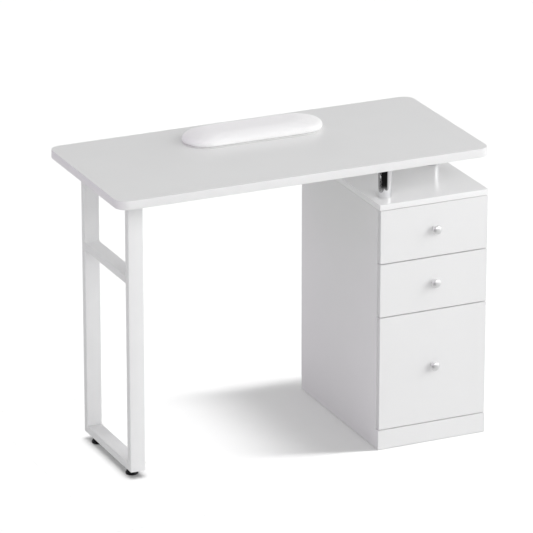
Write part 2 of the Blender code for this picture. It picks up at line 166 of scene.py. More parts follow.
def mix_colours(tree, factor, first, second):
    """Blend from one colour to another, each fixed or an output."""
    mix = tree.nodes.new("ShaderNodeMix")
    mix.data_type = "RGBA"
    tree.links.new(factor, mix.inputs["Factor"])
    set_input(tree, mix.inputs["A"], first)
    set_input(tree, mix.inputs["B"], second)
    return mix.outputs["Result"]


def mix_shaders(tree, factor, first, second):
    """Blend two shader nodes, and return the node that does it."""
    mix = tree.nodes.new("ShaderNodeMixShader")
    tree.links.new(factor, mix.inputs["Fac"])
    tree.links.new(first.outputs[0], mix.inputs[1])
    tree.links.new(second.outputs[0], mix.inputs[2])
    return mix


# ---------------------------------------------------------------- surroundings
def surroundings_ramp(tree, around, turns):
    """Strengths round the horizon. `turns` lists (turn, strength), anticlockwise from the left."""
    ramp = tree.nodes.new("ShaderNodeValToRGB")
    ramp.color_ramp.interpolation = "EASE"
    for _ in turns[2:]:
        ramp.color_ramp.elements.new(0.5)
    for element, (turn, strength) in zip(ramp.color_ramp.elements, turns):
        element.position = turn
        element.color = (strength, strength, strength, 1)
    tree.links.new(around, ramp.inputs["Fac"])
    return ramp.outputs["Color"]


def make_world(fill, background, floor):
    """Pale surroundings: one strength as light, one as backdrop, and a map in reflections.

    `floor` is the map's one strength where it looks steeply down.
    """
    world = bpy.data.worlds.new("studio")
    bpy.context.scene.world = world
    world.use_nodes = True
    tree = world.node_tree
    tree.nodes.clear()
    where = tree.nodes.new("ShaderNodeTexCoord")
    around = tree.nodes.new("ShaderNodeTexGradient")
    around.gradient_type = "RADIAL"
    split = tree.nodes.new("ShaderNodeSeparateXYZ")
    for node in (around, split):
        tree.links.new(where.outputs["Generated"], node.inputs["Vector"])

    mirrored = surroundings_ramp(tree, around.outputs["Fac"], MIRRORED_ABOVE)
    below = surroundings_ramp(tree, around.outputs["Fac"], MIRRORED_BELOW)
    for colour, (start, end) in ((below, HORIZON_BAND),
                                 ((floor, floor, floor, 1), FLOOR_BAND)):
        drop = spread(tree, split.outputs["Z"], 0, 1, start, end)
        mirrored = mix_colours(tree, drop, mirrored, colour)

    light, reflection, backdrop = (tree.nodes.new("ShaderNodeBackground") for _ in range(3))
    for shade, colour, strength in ((light, (1, 1, 1, 1), fill), (reflection, mirrored, 1),
                                    (backdrop, (1, 1, 1, 1), background)):
        set_input(tree, shade.inputs["Color"], colour)
        shade.inputs["Strength"].default_value = strength
    ray = tree.nodes.new("ShaderNodeLightPath")
    shown = mix_shaders(tree, ray.outputs["Is Glossy Ray"], light, reflection)
    shown = mix_shaders(tree, ray.outputs["Is Camera Ray"], shown, backdrop)
    output = tree.nodes.new("ShaderNodeOutputWorld")
    tree.links.new(shown.outputs[0], output.inputs["Surface"])


def floor_paint(name, seen_tone, bounce_tone):
    """Pale paint: lifted towards white where the camera sees it, greyer to other rays."""
    paint = bpy.data.materials.new(name)
    paint.use_nodes = True
    tree = paint.node_tree
    tree.nodes.clear()
    matt, bright = (tree.nodes.new("ShaderNodeBsdfDiffuse") for _ in range(2))
    for shade, tone in ((matt, bounce_tone), (bright, seen_tone)):
        shade.inputs["Color"].default_value = (tone, tone, tone, 1)
    glow = tree.nodes.new("ShaderNodeEmission")
    glow.inputs["Strength"].default_value = FLOOR_LIFT
    lifted = tree.nodes.new("ShaderNodeAddShader")
    tree.links.new(bright.outputs[0], lifted.inputs[0])
    tree.links.new(glow.outputs[0], lifted.inputs[1])
    ray = tree.nodes.new("ShaderNodeLightPath")
    seen = mix_shaders(tree, ray.outputs["Is Camera Ray"], matt, lifted)
    output = tree.nodes.new("ShaderNodeOutputMaterial")
    tree.links.new(seen.outputs[0], output.inputs["Surface"])
    return paint


def make_floor(name, low, high, height, seen_tone, bounce_tone):
    """A level rectangle of painted floor, from `low` to `high` in x and y."""
    mesh = bpy.data.meshes.new(name)
    corners = [(low[0], low[1], height), (high[0], low[1], height),
               (high[0], high[1], height), (low[0], high[1], height)]
    mesh.from_pydata(corners, [], [(0, 1, 2, 3)])
    mesh.materials.append(floor_paint(f"{name}_paint", seen_tone, bounce_tone))
    floor = bpy.data.objects.new(name, mesh)
    bpy.context.scene.collection.objects.link(floor)
    floor.visible_glossy = False
    return floor


# ---------------------------------------------------------------- lights
def floor_sun(name, azimuth, elevation, spread_angle, strength, lit, blockers):
    """Even light from far away, with soft shadows, on one group of receivers."""
    lamp = bpy.data.lights.new(name, "SUN")
    lamp.energy = strength
    lamp.angle = math.radians(spread_angle)
    sun = stand_off(name, lamp, Vector(), azimuth, elevation, FLOOR_SUN_DISTANCE)
    sun.light_linking.receiver_collection = lit
    sun.light_linking.blocker_collection = blockers


def soft_box(name, azimuth, elevation, distance, width, height, power, tint, lit, mirrored):
    """A rectangle of light that faces the middle of the table, on one group of receivers."""
    lamp = bpy.data.lights.new(name, "AREA")
    lamp.color = tint
    lamp.shape = "RECTANGLE"
    lamp.size = width
    lamp.size_y = height
    lamp.energy = power
    box = stand_off(name, lamp, LIGHTS_TARGET, azimuth, elevation, distance)
    box.light_linking.receiver_collection = lit
    box.visible_glossy = mirrored


def link_group(name, members, state):
    """A collection for light linking that includes or excludes its members."""
    group = bpy.data.collections.new(name)
    for member in members:
        group.objects.link(member)
    for entry in group.collection_objects:
        entry.light_linking.link_state = state
    return group


def light_table(floors, leg, tabletop):
    """Soft boxes for everything but the floor.

    Nothing mirrors the right and the rear box. All pieces mirror the others, apart from the
    `tabletop` board: it has matt copies of them, so that no side blows it out. The left box
    also passes the `leg` by: a small one close to it makes its left faces paler upwards.
    """
    not_floor = link_group("all_but_floor", floors, "EXCLUDE")
    not_top = link_group("all_but_tabletop", floors + tabletop, "EXCLUDE")
    not_leg = link_group("all_but_leg", floors + tabletop + leg, "EXCLUDE")
    top_only = link_group("tabletop_only", tabletop, "INCLUDE")
    leg_only = link_group("leg_only", leg, "INCLUDE")
    # Each box's name, angles, distance, width, height, watts, tint and who mirrors it.
    for name, azimuth, elevation, distance, width, height, power, tint, mirrored_by in (
            ("key", 45, 25, 5.0, 5.0, 3.0, 104, NEUTRAL, not_top),
            ("front", 0, 35, 5.0, 3.0, 2.4, 44, NEUTRAL, not_top),
            ("left", -90, 28, 5.0, 3.0, 2.0, 27, LILAC, not_leg),
            ("right", 105, 8, 5.0, 5.0, 1.6, 72, NEUTRAL, None),
            ("rear", 180, 8, 5.0, 3.0, 1.6, 74, NEUTRAL, None)):
        shape = (azimuth, elevation, distance, width, height, power)
        if mirrored_by:
            soft_box(f"{name}_mirrored", *shape, tint, lit=mirrored_by, mirrored=True)
        matt_for = top_only if mirrored_by else not_floor
        soft_box(f"{name}_matt", *shape, NEUTRAL, lit=matt_for, mirrored=False)
    soft_box("leg_matt", azimuth=-90, elevation=8.7, distance=1.06, width=0.8, height=0.2,
             power=0.40, tint=PALE_LILAC, lit=leg_only, mirrored=False)


def light_floor(floor, patch, over_floor, near_floor):
    """Lights that only the floor has.

    They stand in an arch on the right, so the cabinet's shadow has clear sides and a long
    soft end. The patch has one broad light instead, so that only `near_floor` darkens it.
    `over_floor` throws no shadow on either.
    """
    floor_only = link_group("floor_only", [floor], "INCLUDE")
    patch_only = link_group("patch_only", [patch], "INCLUDE")
    long_shadow = link_group("long_shadow", over_floor + near_floor, "EXCLUDE")
    contact = link_group("contact_shadow", near_floor, "INCLUDE")
    for elevation, strength in ARCH:
        floor_sun(f"floor_light_{elevation}", ARCH_AZIMUTH, elevation, ARCH_SPREAD, strength,
                  floor_only, long_shadow)
    floor_sun("patch_light", azimuth=0, elevation=78, spread_angle=50, strength=2.6,
              lit=patch_only, blockers=contact)


def make_studio(over_floor, near_floor, leg, tabletop):
    """The surroundings, the floor with its patch under the leg, and all lights."""
    bpy.context.scene.view_settings.view_transform = "Standard"
    make_world(fill=0.50, background=1.0, floor=0.70)
    floor = make_floor("floor", (-FLOOR_REACH, -FLOOR_REACH), (FLOOR_REACH, FLOOR_REACH),
                       FLOOR_HEIGHT, seen_tone=0.95, bounce_tone=0.63)
    patch = make_floor("floor_under_leg", (-0.62, -0.42), (-0.365, 0.42), PATCH_HEIGHT,
                       seen_tone=0.75, bounce_tone=0.50)
    light_table([floor, patch], leg, tabletop)
    light_floor(floor, patch, over_floor, near_floor)


# ---------------------------------------------------------------- material tools
def start_material(name, colour, roughness, metallic=0.0, specular=0.5):
    """A material with its node tree and its shader."""
    made = bpy.data.materials.new(name)
    made.use_nodes = True
    shader = made.node_tree.nodes["Principled BSDF"]
    shader.inputs["Base Color"].default_value = (*colour, 1)
    shader.inputs["Roughness"].default_value = roughness
    shader.inputs["Metallic"].default_value = metallic
    shader.inputs["Specular IOR Level"].default_value = specular
    return made, made.node_tree, shader


def noise_field(tree, scale, detail=2.0, stretch=(1, 1, 1), rough=0.5):
    """Noise in the object's own metres: `scale` features per metre."""
    where = tree.nodes.new("ShaderNodeTexCoord")
    mapping = tree.nodes.new("ShaderNodeMapping")
    mapping.inputs["Scale"].default_value = stretch
    field = tree.nodes.new("ShaderNodeTexNoise")
    field.inputs["Scale"].default_value = scale
    field.inputs["Detail"].default_value = detail
    field.inputs["Roughness"].default_value = rough
    tree.links.new(where.outputs["Object"], mapping.inputs["Vector"])
    tree.links.new(mapping.outputs["Vector"], field.inputs["Vector"])
    return field.outputs["Fac"]


def crease_field(tree, scale):
    """Distance to the borders of Voronoi cells, `scale` of them per metre."""
    where = tree.nodes.new("ShaderNodeTexCoord")
    field = tree.nodes.new("ShaderNodeTexVoronoi")
    field.feature = "DISTANCE_TO_EDGE"
    field.inputs["Scale"].default_value = scale
    tree.links.new(where.outputs["Object"], field.inputs["Vector"])
    return field.outputs["Distance"]


def two_tone(tree, shader, factor, dark, light):
    """Base colour between two tones, by a factor of 0 to 1."""
    tone = mix_colours(tree, factor, (*dark, 1), (*light, 1))
    tree.links.new(tone, shader.inputs["Base Color"])


def roughen(tree, shader, field, low, high):
    """Roughness from low to high, by a field."""
    tree.links.new(spread(tree, field, low, high), shader.inputs["Roughness"])


def bump(tree, shader, height, distance, strength):
    """Relief by a field, `distance` metres deep."""
    node = tree.nodes.new("ShaderNodeBump")
    node.inputs["Strength"].default_value = strength
    node.inputs["Distance"].default_value = distance
    tree.links.new(height, node.inputs["Height"])
    tree.links.new(node.outputs["Normal"], shader.inputs["Normal"])


# ---------------------------------------------------------------- materials
def laminate(name, tone, gloss):
    """White melamine board: faint mottling, pearl-like stipple, handling marks."""
    light = (tone, tone, tone + 0.002)
    made, tree, shader = start_material(name, light, gloss)
    mottling = spread(tree, noise_field(tree, scale=9, detail=3))
    two_tone(tree, shader, mottling, (tone - 0.010, tone - 0.010, tone - 0.008), light)
    marks = noise_field(tree, scale=7, detail=3)
    roughen(tree, shader, marks, gloss - 0.015, gloss + 0.02)
    bump(tree, shader, noise_field(tree, scale=1500), distance=0.00002, strength=0.3)
    return made


def edge_band(name, tone):
    """PVC edge strip: even in colour and smoother than the board."""
    made, tree, shader = start_material(name, (tone, tone, tone), 0.30)
    tint = spread(tree, noise_field(tree, scale=25))
    two_tone(tree, shader, tint, (tone - 0.015, tone - 0.015, tone - 0.012),
             (tone, tone, tone + 0.003))
    roughen(tree, shader, noise_field(tree, scale=40, detail=3), 0.28, 0.33)
    bump(tree, shader, noise_field(tree, scale=1200), distance=0.00002, strength=0.2)
    return made


def drawer_board():
    """Foil-wrapped drawer board with a faint pressed grain along its length."""
    made, tree, shader = start_material("drawer_board", (0.80, 0.80, 0.79), 0.5)
    grain = noise_field(tree, scale=900, detail=3, stretch=(1, 0.03, 1), rough=0.6)
    two_tone(tree, shader, spread(tree, grain), (0.765, 0.763, 0.755), (0.81, 0.81, 0.805))
    roughen(tree, shader, noise_field(tree, scale=35, detail=3), 0.44, 0.58)
    bump(tree, shader, grain, distance=0.00008, strength=0.5)
    return made


def powder_coat():
    """White powder coat: orange peel over a fine grit."""
    dark, peel_share = (0.88, 0.88, 0.885), 2.2
    made, tree, shader = start_material("powder_coat", dark, 0.32)
    cloud = spread(tree, noise_field(tree, scale=14, detail=3))
    two_tone(tree, shader, cloud, dark, (0.90, 0.90, 0.905))
    roughen(tree, shader, noise_field(tree, scale=120, detail=3), 0.28, 0.38)
    peel = combine(tree, noise_field(tree, scale=420), peel_share, "MULTIPLY")
    grit = noise_field(tree, scale=2200)
    bump(tree, shader, combine(tree, peel, grit), distance=0.00006, strength=0.5)
    return made


def chrome():
    """Polished chrome with a hint of polishing haze."""
    made, tree, shader = start_material("chrome", (0.80, 0.80, 0.81), 0.06, metallic=1.0)
    haze = noise_field(tree, scale=55, detail=4)
    two_tone(tree, shader, spread(tree, haze), (0.77, 0.77, 0.785), (0.83, 0.83, 0.835))
    roughen(tree, shader, haze, 0.04, 0.11)
    rings = noise_field(tree, scale=1400, stretch=(0.05, 0.05, 1))
    bump(tree, shader, rings, distance=0.000004, strength=0.3)
    return made


def satin_chrome():
    """Satin-plated knob metal: soft reflections, fine turning lines."""
    made, tree, shader = start_material("satin_chrome", (0.88, 0.88, 0.88), 0.44, metallic=0.8)
    cloud = spread(tree, noise_field(tree, scale=90, detail=3))
    two_tone(tree, shader, cloud, (0.84, 0.84, 0.845), (0.88, 0.88, 0.88))
    lines = noise_field(tree, scale=3000, stretch=(0.2, 1, 0.2))
    roughen(tree, shader, lines, 0.40, 0.48)
    bump(tree, shader, lines, distance=0.000006, strength=0.4)
    return made


def zinc_steel():
    """Bright zinc plate: cloudy spangle, fine drawing lines."""
    made, tree, shader = start_material("zinc_steel", (0.62, 0.63, 0.65), 0.34, metallic=1.0)
    spangle = spread(tree, noise_field(tree, scale=130, detail=4))
    two_tone(tree, shader, spangle, (0.52, 0.53, 0.56), (0.68, 0.685, 0.69))
    lines = noise_field(tree, scale=2600, stretch=(1, 0.02, 1))
    roughen(tree, shader, lines, 0.24, 0.44)
    bump(tree, shader, lines, distance=0.00001, strength=0.5)
    return made


def black_plastic():
    """Moulded black plastic with a spark-eroded grain, paler where it is rubbed."""
    made, tree, shader = start_material("black_plastic", (0.010, 0.010, 0.011), 0.28,
                                        specular=0.3)
    worn = noise_field(tree, scale=300, detail=4)
    rubbed = spread(tree, worn, start=0.45, end=0.8)
    two_tone(tree, shader, rubbed, (0.008, 0.008, 0.009), (0.030, 0.030, 0.032))
    roughen(tree, shader, worn, 0.22, 0.36)
    bump(tree, shader, noise_field(tree, scale=1800), distance=0.00006, strength=0.5)
    return made


def leatherette():
    """White leatherette: cells of grain with fine pores between them, with painted shade darkening
    the creases between the cells.
    """
    made, tree, shader = start_material("leatherette", (0.88, 0.88, 0.878), 0.48)
    shader.inputs["Sheen Weight"].default_value = 0.45
    shader.inputs["Sheen Roughness"].default_value = 0.5
    cells = spread(tree, crease_field(tree, scale=520), start=0.0, end=0.22)
    # Painted shade: the base colour is darker in the creases between the grain cells.
    two_tone(tree, shader, cells, (0.94, 0.94, 0.94), (0.985, 0.985, 0.983))
    roughen(tree, shader, noise_field(tree, scale=90, detail=3), 0.42, 0.56)
    pores = noise_field(tree, scale=1500, detail=3)
    bump(tree, shader, combine(tree, cells, pores), distance=0.00022, strength=0.55)
    return made


MATERIALS = {
    "laminate": laminate("laminate", tone=0.86, gloss=0.30),
    # Painted light: the table top's copy of the white laminate is lighter than the cabinet's, to
    # stand in for light on the top.
    "table_laminate_painted_light": laminate("table_laminate_painted_light", tone=0.885, gloss=0.30),
    # Painted light: the cabinet top's glossier copy of the laminate is much lighter, to offset the
    # shade under the table top.
    "gloss_laminate": laminate("gloss_laminate", tone=0.95, gloss=0.18),
    "edge_band": edge_band("edge_band", tone=0.86),
    # Painted highlight: a lighter edge strip on the cabinet top stands in for the light caught
    # along its edges.
    "bright_edge_band": edge_band("bright_edge_band", tone=0.93),
    # Painted shade: the drawer fronts' edge strip is grey, to darken the gaps round the fronts.
    "edge_band_painted_gap_shade": edge_band("edge_band_painted_gap_shade", tone=0.76),
    "drawer_board": drawer_board(),
    "powder_coat": powder_coat(),
    "chrome": chrome(),
    "satin_chrome": satin_chrome(),
    "zinc_steel": zinc_steel(),
    "black_plastic": black_plastic(),
    "leatherette": leatherette(),
}


# ---------------------------------------------------------------- mesh tools
def new_piece(name, mesh_data, finish, body, smooth_angle=35):
    """Turn mesh data in world places into a piece that rides on a body."""
    bmesh.ops.recalc_face_normals(mesh_data, faces=mesh_data.faces)
    mesh = bpy.data.meshes.new(name)
    mesh_data.to_mesh(mesh)
    mesh_data.free()
    mesh.materials.append(MATERIALS[finish])
    mesh.shade_smooth()
    mesh.set_sharp_from_angle(angle=math.radians(smooth_angle))
    made = bpy.data.objects.new(name, mesh)
    bpy.context.scene.collection.objects.link(made)
    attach(made, body)
    return made


def neighbours(rings, closed_loop):
    """Pairs of rings that follow each other, with last and first too in a closed loop."""
    pairs = list(zip(rings, rings[1:]))
    if closed_loop:
        pairs.append((rings[-1], rings[0]))
    return pairs


def loft(mesh_data, rings, closed_loop=False):
    """Join rings of equal count, and cap the first and the last of an open row."""
    for first, second in neighbours(rings, closed_loop):
        for corner in range(len(first)):
            following = (corner + 1) % len(first)
            mesh_data.faces.new((first[corner], first[following],
                                 second[following], second[corner]))
    if not closed_loop:
        mesh_data.faces.new(list(reversed(rings[0])))
        mesh_data.faces.new(rings[-1])


def lathe(mesh_data, profile, base, along, sides, closed_loop=False):
    """Add a solid of revolution. `profile` lists (radius, distance along the axis)."""
    turn = UP.rotation_difference(along).to_matrix()
    rings = []
    for radius, height in profile:
        if radius == 0:
            rings.append([mesh_data.verts.new(base + turn @ Vector((0, 0, height)))])
            continue
        ring = []
        for step in range(sides):
            angle = math.tau * step / sides
            point = Vector((radius * math.cos(angle), radius * math.sin(angle), height))
            ring.append(mesh_data.verts.new(base + turn @ point))
        rings.append(ring)
    for first, second in neighbours(rings, closed_loop):
        for step in range(sides):
            following = (step + 1) % sides
            corners = [first[step % len(first)], first[following % len(first)],
                       second[following % len(second)], second[step % len(second)]]
            unique = [c for i, c in enumerate(corners) if c not in corners[:i]]
            mesh_data.faces.new(unique)


def arc(centre, radius, start, end, steps):
    """Points of an arc in the profile's plane, angles in degrees."""
    points = []
    for step in range(steps + 1):
        angle = math.radians(start + (end - start) * step / steps)
        points.append((centre[0] + radius * math.cos(angle),
                       centre[1] + radius * math.sin(angle)))
    return points


def circle_outline(across, up, radius, count):
    """Points of a circle, the first half a step round it."""
    points = []
    for step in range(count):
        angle = math.tau * (step + 0.5) / count
        points.append((across + radius * math.cos(angle), up + radius * math.sin(angle)))
    return points


def rounded_outline(low, high, radius, steps):
    """Corners of a rounded rectangle in a plane, counter-clockwise."""
    points = []
    corners = ((high[0] - radius, high[1] - radius), (low[0] + radius, high[1] - radius),
               (low[0] + radius, low[1] + radius), (high[0] - radius, low[1] + radius))
    for quarter, centre in enumerate(corners):
        points += arc(centre, radius, 90 * quarter, 90 * (quarter + 1), steps)
    return points


def stadium(length, depth, inset, steps):
    """An outline with half-round ends, counter-clockwise: its size less an inset all round."""
    radius = depth / 2 - inset
    straight = length / 2 - depth / 2
    points = []
    for sign in (1, -1):
        for step in range(steps + 1):
            angle = math.radians(-90 + 180 * step / steps)
            points.append((sign * (straight + radius * math.cos(angle)),
                           sign * radius * math.sin(angle)))
        for step in range(1, steps):
            points.append((sign * (straight - 2 * straight * step / steps), sign * radius))
    return points


# ---------------------------------------------------------------- CAD nodes kept as they are
def soften_node(name, finish, width, segments):
    """Dress a CAD node: its material, merged flat faces and a rounded arris."""
    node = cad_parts[name]
    node.data.materials.clear()
    node.data.materials.append(MATERIALS[finish])
    weld = node.modifiers.new("weld", "WELD")
    weld.merge_threshold = 0.00002
    flat = node.modifiers.new("flat", "DECIMATE")
    flat.decimate_type = "DISSOLVE"
    flat.angle_limit = math.radians(1)
    arris = node.modifiers.new("arris", "BEVEL")
    arris.width = width
    arris.segments = segments
    arris.limit_method = "ANGLE"
    arris.angle_limit = math.radians(40)
    arris.use_clamp_overlap = True
    node.data.shade_smooth()
    level = node.modifiers.new("level", "WEIGHTED_NORMAL")
    level.weight = 100
    level.keep_sharp = True


def dress_nodes():
    """CAD nodes whose shape is already right get their material and a soft arris."""
    boxes = [f"drawer_{number}_{part}" for number in DRAWERS
             for part in ("left_side", "right_side", "back", "bottom")]
    knob_screws = [f"drawer_{number}_knob_screw" for number in DRAWERS]
    steel = [f"{name}_{side}" for number in DRAWERS for side in SIDES
             for name in (f"drawer_{number}_runner", f"cabinet_runner_{number}")]
    steel += [f"leg_screw_{name}" for name in FEET] + [f"post_bolt_{name}" for name in POSTS]
    for finish, arris, segments, names in (
            ("laminate", 0.0014, 3, ("cabinet_left_side", "cabinet_right_side")),
            ("laminate", 0.0008, 3, ("cabinet_bottom", "cabinet_back")),
            ("drawer_board", 0.0005, 2, boxes),
            ("drawer_board", 0.0004, 2, ("wrist_rest_base",)),
            ("zinc_steel", 0.0002, 2, knob_screws),
            ("zinc_steel", 0.0003, 2, steel)):
        for name in names:
            soften_node(name, finish, arris, segments)


# ---------------------------------------------------------------- edge-banded boards
def banded_board(node, thickness_axis, finish, body, band_finish="edge_band", corner=0.0018,
                 steps=4, hole=None):
    """A board with its edge strip, met by a hairline joint, in place of a CAD node.

    `hole` is (across, up, radius) of one hole through it, in the board's own plane.
    """
    low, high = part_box(node)
    shallow, deep = low[thickness_axis], high[thickness_axis]
    flat_low = [value for axis, value in enumerate(low) if axis != thickness_axis]
    flat_high = [value for axis, value in enumerate(high) if axis != thickness_axis]

    def ring(mesh_data, outline, depth):
        corners = []
        for point in outline:
            place = list(point)
            place.insert(thickness_axis, depth)
            corners.append(mesh_data.verts.new(place))
        return corners

    def edge(shrink):
        return rounded_outline([value + shrink for value in flat_low],
                               [value - shrink for value in flat_high], corner - shrink, steps)

    board = bmesh.new()
    inset = BAND_THICKNESS + BAND_JOINT
    levels = ((inset + BAND_JOINT, shallow), (inset, shallow + BAND_JOINT),
              (inset, deep - BAND_JOINT), (inset + BAND_JOINT, deep))
    rings = [ring(board, edge(shrink), depth) for shrink, depth in levels]
    if hole:
        circle = circle_outline(*hole, count=len(rings[0]))
        rings = [ring(board, circle, shallow)] + rings + [ring(board, circle, deep)]
    loft(board, rings, closed_loop=bool(hole))
    core = new_piece(f"{node}_board", board, finish, body)

    band = bmesh.new()
    profile = [(BAND_THICKNESS, shallow)]
    profile += [(BAND_ARRIS - x, shallow + BAND_ARRIS - y)
                for x, y in arc((0, 0), BAND_ARRIS, 90, 0, BAND_ARRIS_STEPS)]
    profile += [(BAND_ARRIS - x, deep - BAND_ARRIS + y)
                for x, y in arc((0, 0), BAND_ARRIS, 0, 90, BAND_ARRIS_STEPS)]
    profile.append((BAND_THICKNESS, deep))
    loft(band, [ring(band, edge(shrink), depth) for shrink, depth in profile], closed_loop=True)
    strip_piece = new_piece(f"{node}_edge_band", band, band_finish, body)
    for piece in (core, strip_piece):
        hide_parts(node)
    return [core, strip_piece]


def make_boards():
    """The boards whose edges show; the drawer fronts have a hole for the knob's screw.

    Returns the table top's board and edge strip.
    """
    # The cabinet top: painted light on its board, painted highlight on its edge strip.
    banded_board("cabinet_top", Z_AXIS, "gloss_laminate", "table", "bright_edge_band")
    banded_board("cabinet_plinth", Y_AXIS, "laminate", "table")
    for number in DRAWERS:
        screw_low, screw_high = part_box(f"drawer_{number}_knob_screw")
        middle = (screw_low + screw_high) / 2
        # The fronts' grey edge strips are painted shade in the gaps round them.
        banded_board(f"drawer_{number}_front", Y_AXIS, "laminate", f"drawer_{number}",
                     "edge_band_painted_gap_shade", hole=(middle.x, middle.z, SCREW_HOLE_RADIUS))
    return banded_board("tabletop", Z_AXIS, "table_laminate_painted_light", "table",
                        corner=TABLETOP_CORNER, steps=20)


# ---------------------------------------------------------------- leg frame
def tube_section(width, depth):
    """The rounded outline of a rectangular tube, across the table and in its plane."""
    return rounded_outline((-width / 2, -depth / 2), (width / 2, depth / 2), TUBE_CORNER,
                           TUBE_CORNER_STEPS)


def make_leg_frame():
    """Tube with ground mitres at the corners, and the crossbar welded into it.

    Returns the pieces that reach up from the bottom bar, and then that bar.
    """
    low = Vector(map(min, *(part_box(n)[0] for n in ("leg_front_upright", "leg_bottom_bar"))))
    high = Vector(map(max, *(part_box(n)[1] for n in ("leg_rear_upright", "leg_top_bar"))))
    cross_low, cross_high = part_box("leg_crossbar")
    width = high.x - low.x
    depth = cross_high.z - cross_low.z
    middle = (low.x + high.x) / 2

    half = depth / 2
    corners = ((low.y + half, low.z + half, -1, -1), (high.y - half, low.z + half, 1, -1),
               (high.y - half, high.z - half, 1, 1), (low.y + half, high.z - half, -1, 1))

    def mitred(name, path, nodes):
        """Tube along corners of the frame; each lists its place and the way outwards."""
        run = bmesh.new()
        rings = []
        for y, z, out_y, out_z in path:
            rings.append([run.verts.new((middle + across, y + out_y * deep, z + out_z * deep))
                          for across, deep in tube_section(width, depth)])
        loft(run, rings)
        welded = new_piece(name, run, "powder_coat", "table", smooth_angle=50)
        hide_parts(*nodes)
        return welded

    bottom = mitred("leg_bottom_mitred", corners[:2], ("leg_bottom_bar",))
    upper = mitred("leg_upper_mitred", corners[1:] + corners[:1],
                   ("leg_front_upright", "leg_rear_upright", "leg_top_bar"))

    bar = bmesh.new()
    centre = (cross_low.z + cross_high.z) / 2
    front = cross_low.y - TUBE_GAP
    rear = cross_high.y + TUBE_GAP
    # The weld bead: how far along the bar, and how far it stands out there.
    bead = ((0, WELD), (WELD * 0.4, WELD * 0.55), (WELD, 0))
    places = [(front + along, grow) for along, grow in bead]
    places += [(rear - along, grow) for along, grow in reversed(bead)]
    rings = []
    for y, grow in places:
        rings.append([bar.verts.new((middle + across, y, centre + up))
                      for across, up in tube_section(width, depth + 2 * grow)])
    loft(bar, rings)
    crossbar = new_piece("leg_crossbar_welded", bar, "powder_coat", "table",
                         smooth_angle=50)
    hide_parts("leg_crossbar")
    return [upper, crossbar], bottom


# ---------------------------------------------------------------- feet
def thread_radius(share, crest, root):
    """Radius at a share of one pitch of a thread: flat crest and root, straight flanks."""
    steepness, root_flat = 1.25, 0.125
    rise = abs((share % 1.0) * 2 - 1) * steepness - root_flat
    return root + (crest - root) * min(max(rise, 0), 1)


def threaded_rod(mesh_data, base, length, crest):
    """A right-hand thread as one closed surface, fading out over a pitch at both ends."""
    root = crest - THREAD_DEPTH
    rows = int(length / THREAD_PITCH * THREAD_ROWS_PER_TURN)
    rings = []
    for row in range(rows + 1):
        height = length * row / rows
        from_end = min(height, length - height)
        most = crest
        if from_end <= THREAD_PITCH:
            most = root + (crest - root) * from_end / THREAD_PITCH
        ring = []
        for step in range(THREAD_SIDES):
            turn = step / THREAD_SIDES
            radius = thread_radius(height / THREAD_PITCH - turn, most, root)
            angle = math.tau * turn
            ring.append(mesh_data.verts.new(
                base + Vector((radius * math.cos(angle), radius * math.sin(angle), height))))
        rings.append(ring)
    loft(mesh_data, rings)


def make_foot(name):
    """A levelling foot: a domed pad with its threaded stem in a socket. Returns the pad."""
    pad_low, pad_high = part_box(f"foot_{name}_pad")
    stem_low, stem_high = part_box(f"foot_{name}_stem")
    centre = Vector(((pad_low.x + pad_high.x) / 2, (pad_low.y + pad_high.y) / 2, 0))
    radius = (pad_high.x - pad_low.x) / 2
    height = pad_high.z - pad_low.z
    stem = (stem_high.x - stem_low.x) / 2
    clearance, socket_floor = 0.0003, 0.0037
    socket = stem + clearance
    neck, ledge = 0.0072, 0.0010
    recess = 0.0005
    recess_from_rim, sole_from_rim = 0.006, 0.0055
    sole_round, rim_round = 0.0012, 0.0008
    rim = 0.0048
    dome_edge = radius - rim_round - ledge
    dome_steps = 12

    mesh_data = bmesh.new()
    profile = [(0, recess), (radius - recess_from_rim, recess), (radius - sole_from_rim, 0),
               (radius - sole_round, 0)]
    profile += arc((radius - sole_round, sole_round), sole_round, -90, 0, 4)[1:]
    profile += arc((radius - rim_round, rim - rim_round), rim_round, 0, 90, 3)
    for step in range(dome_steps + 1):
        angle = QUARTER_TURN * step / dome_steps
        profile.append((dome_edge - (dome_edge - neck) * (1 - math.cos(angle)),
                        rim + (height - rim) * math.sin(angle)))
    profile += [(socket, height), (socket, socket_floor), (0, socket_floor)]
    lathe(mesh_data, profile, centre, UP, sides=72)
    pad = new_piece(f"foot_{name}_pad_moulded", mesh_data, "black_plastic", f"foot_{name}")
    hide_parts(f"foot_{name}_pad")

    mesh_data = bmesh.new()
    base = Vector((centre.x, centre.y, stem_low.z))
    threaded_rod(mesh_data, base, stem_high.z - stem_low.z, stem)
    rod = new_piece(f"foot_{name}_stem_threaded", mesh_data, "zinc_steel",
                    f"foot_{name}_stem", smooth_angle=60)
    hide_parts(f"foot_{name}_stem")
    return pad


# ---------------------------------------------------------------- posts
def make_post(name):
    """A chromed tube with softly turned ends."""
    low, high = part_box(f"post_{name}")
    centre = Vector(((low.x + high.x) / 2, (low.y + high.y) / 2, low.z))
    radius = (high.x - low.x) / 2
    height = high.z - low.z
    wall = 0.0015
    turn = 0.0005
    profile = [(radius - wall, 0)]
    profile += arc((radius - turn, turn), turn, -90, 0, 3)
    profile += arc((radius - turn, height - turn), turn, 0, 90, 3)
    profile += [(radius - wall, height)]
    mesh_data = bmesh.new()
    lathe(mesh_data, profile, centre, UP, sides=128, closed_loop=True)
    post = new_piece(f"post_{name}_chromed", mesh_data, "chrome", "table",
                     smooth_angle=50)
    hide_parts(f"post_{name}")


